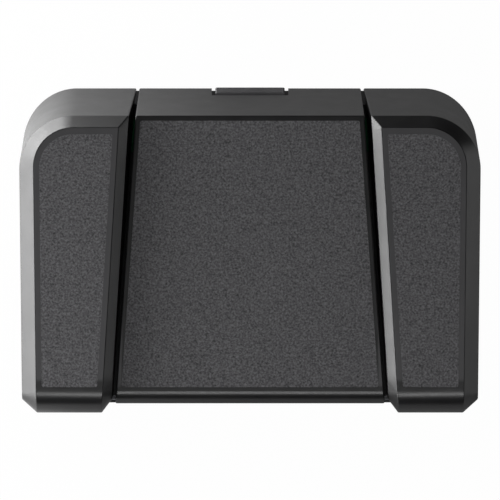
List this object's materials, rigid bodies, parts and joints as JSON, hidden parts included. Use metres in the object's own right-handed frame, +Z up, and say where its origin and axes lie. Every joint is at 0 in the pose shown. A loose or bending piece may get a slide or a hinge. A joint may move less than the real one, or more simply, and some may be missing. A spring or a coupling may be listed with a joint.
{
  "type": "usb foot pedal switch",
  "caption": "Foot switch with side-by-side hinged pedals on a weighted base and a USB-C inlet at the rear.",
  "frame": {"origin": "centre of the footprint's box, on the floor under the rubber feet", "axes": "+X to the right across the pedals, +Y to the rear with the tall end and the port, +Z up"},
  "size_m": [0.24, 0.1895, 0.0599],
  "materials": {
    "pedal_shell": "satin moulded plastic, near black",
    "tread": "fine moulded grain, charcoal",
    "port_block": "satin moulded plastic, near black",
    "frame_plastic": "glass-filled plastic, dark grey",
    "tray_plastic": "moulded plastic, black",
    "bush_plastic": "natural bearing plastic",
    "coated_steel": "black powder coat",
    "plate_steel": "zinc-plated sheet",
    "pin_steel": "ground steel",
    "spring_steel": "spring wire",
    "screw_steel": "blackened screws",
    "foot_rubber": "matt black rubber",
    "bumper_rubber": "soft rubber",
    "board": "green solder mask",
    "chip_plastic": "black resin",
    "switch_plastic": "black switch housing",
    "stem_plastic": "red plunger",
    "receptacle_metal": "drawn shell",
    "contact_plastic": "black insert"
  },
  "bodies": {
    "base": {"base_pan": "coated_steel", "base_plate": "plate_steel", "base_tray": "tray_plastic", "rubber_feet": "foot_rubber", "base_screws": "screw_steel", "hinge_clips": "spring_steel", "main_board": "board", "board_screws": "screw_steel", "controller_chip": "chip_plastic", "usb_c_shell": "receptacle_metal", "usb_c_tongue": "contact_plastic", "port_housing": "port_block", "port_screws": "screw_steel", "spring_seats": "tray_plastic", "stop_bumpers": "bumper_rubber", "left_hinge_pin": "pin_steel", "left_switch_body": "switch_plastic", "left_spring": "spring_steel", "centre_hinge_pin": "pin_steel", "centre_switch_body": "switch_plastic", "centre_spring": "spring_steel", "right_hinge_pin": "pin_steel", "right_switch_body": "switch_plastic", "right_spring": "spring_steel"},
    "left_pedal": {"left_pedal_shell": "pedal_shell", "left_tread": "tread", "left_pedal_frame": "frame_plastic", "left_bushes": "bush_plastic", "left_frame_screws": "screw_steel"},
    "left_stem": {"left_switch_stem": "stem_plastic"},
    "centre_pedal": {"centre_pedal_shell": "pedal_shell", "centre_tread": "tread", "centre_pedal_frame": "frame_plastic", "centre_bushes": "bush_plastic", "centre_frame_screws": "screw_steel"},
    "centre_stem": {"centre_switch_stem": "stem_plastic"},
    "right_pedal": {"right_pedal_shell": "pedal_shell", "right_tread": "tread", "right_pedal_frame": "frame_plastic", "right_bushes": "bush_plastic", "right_frame_screws": "screw_steel"},
    "right_stem": {"right_switch_stem": "stem_plastic"}
  },
  "joints": [
    {"name": "left_pedal_hinge", "type": "hinge", "parent": "base", "child": "left_pedal", "pos_m": [-0.09273, -0.077, 0.011], "axis": [-1, 0, 0], "range_deg": [0, 1.3], "stiffness_Nm_per_rad": 8, "springref_deg": -3.44, "deforming": ["left_spring"]},
    {"name": "left_stem_slide", "type": "slide", "parent": "base", "child": "left_stem", "axis": [0, 0, -1], "range_m": [0, 0.0034], "stiffness_N_per_m": 150, "springref_m": -0.002},
    {"name": "centre_pedal_hinge", "type": "hinge", "parent": "base", "child": "centre_pedal", "pos_m": [0, -0.077, 0.011], "axis": [-1, 0, 0], "range_deg": [0, 1.3], "stiffness_Nm_per_rad": 8, "springref_deg": -3.44, "deforming": ["centre_spring"]},
    {"name": "centre_stem_slide", "type": "slide", "parent": "base", "child": "centre_stem", "axis": [0, 0, -1], "range_m": [0, 0.0034], "stiffness_N_per_m": 150, "springref_m": -0.002},
    {"name": "right_pedal_hinge", "type": "hinge", "parent": "base", "child": "right_pedal", "pos_m": [0.09273, -0.077, 0.011], "axis": [-1, 0, 0], "range_deg": [0, 1.3], "stiffness_Nm_per_rad": 8, "springref_deg": -3.44, "deforming": ["right_spring"]},
    {"name": "right_stem_slide", "type": "slide", "parent": "base", "child": "right_stem", "axis": [0, 0, -1], "range_m": [0, 0.0034], "stiffness_N_per_m": 150, "springref_m": -0.002}
  ],
  "couplings": [
    {"joint": "left_stem_slide", "follows": "left_pedal_hinge", "m_per_rad": 0.143},
    {"joint": "centre_stem_slide", "follows": "centre_pedal_hinge", "m_per_rad": 0.143},
    {"joint": "right_stem_slide", "follows": "right_pedal_hinge", "m_per_rad": 0.143}
  ]
}
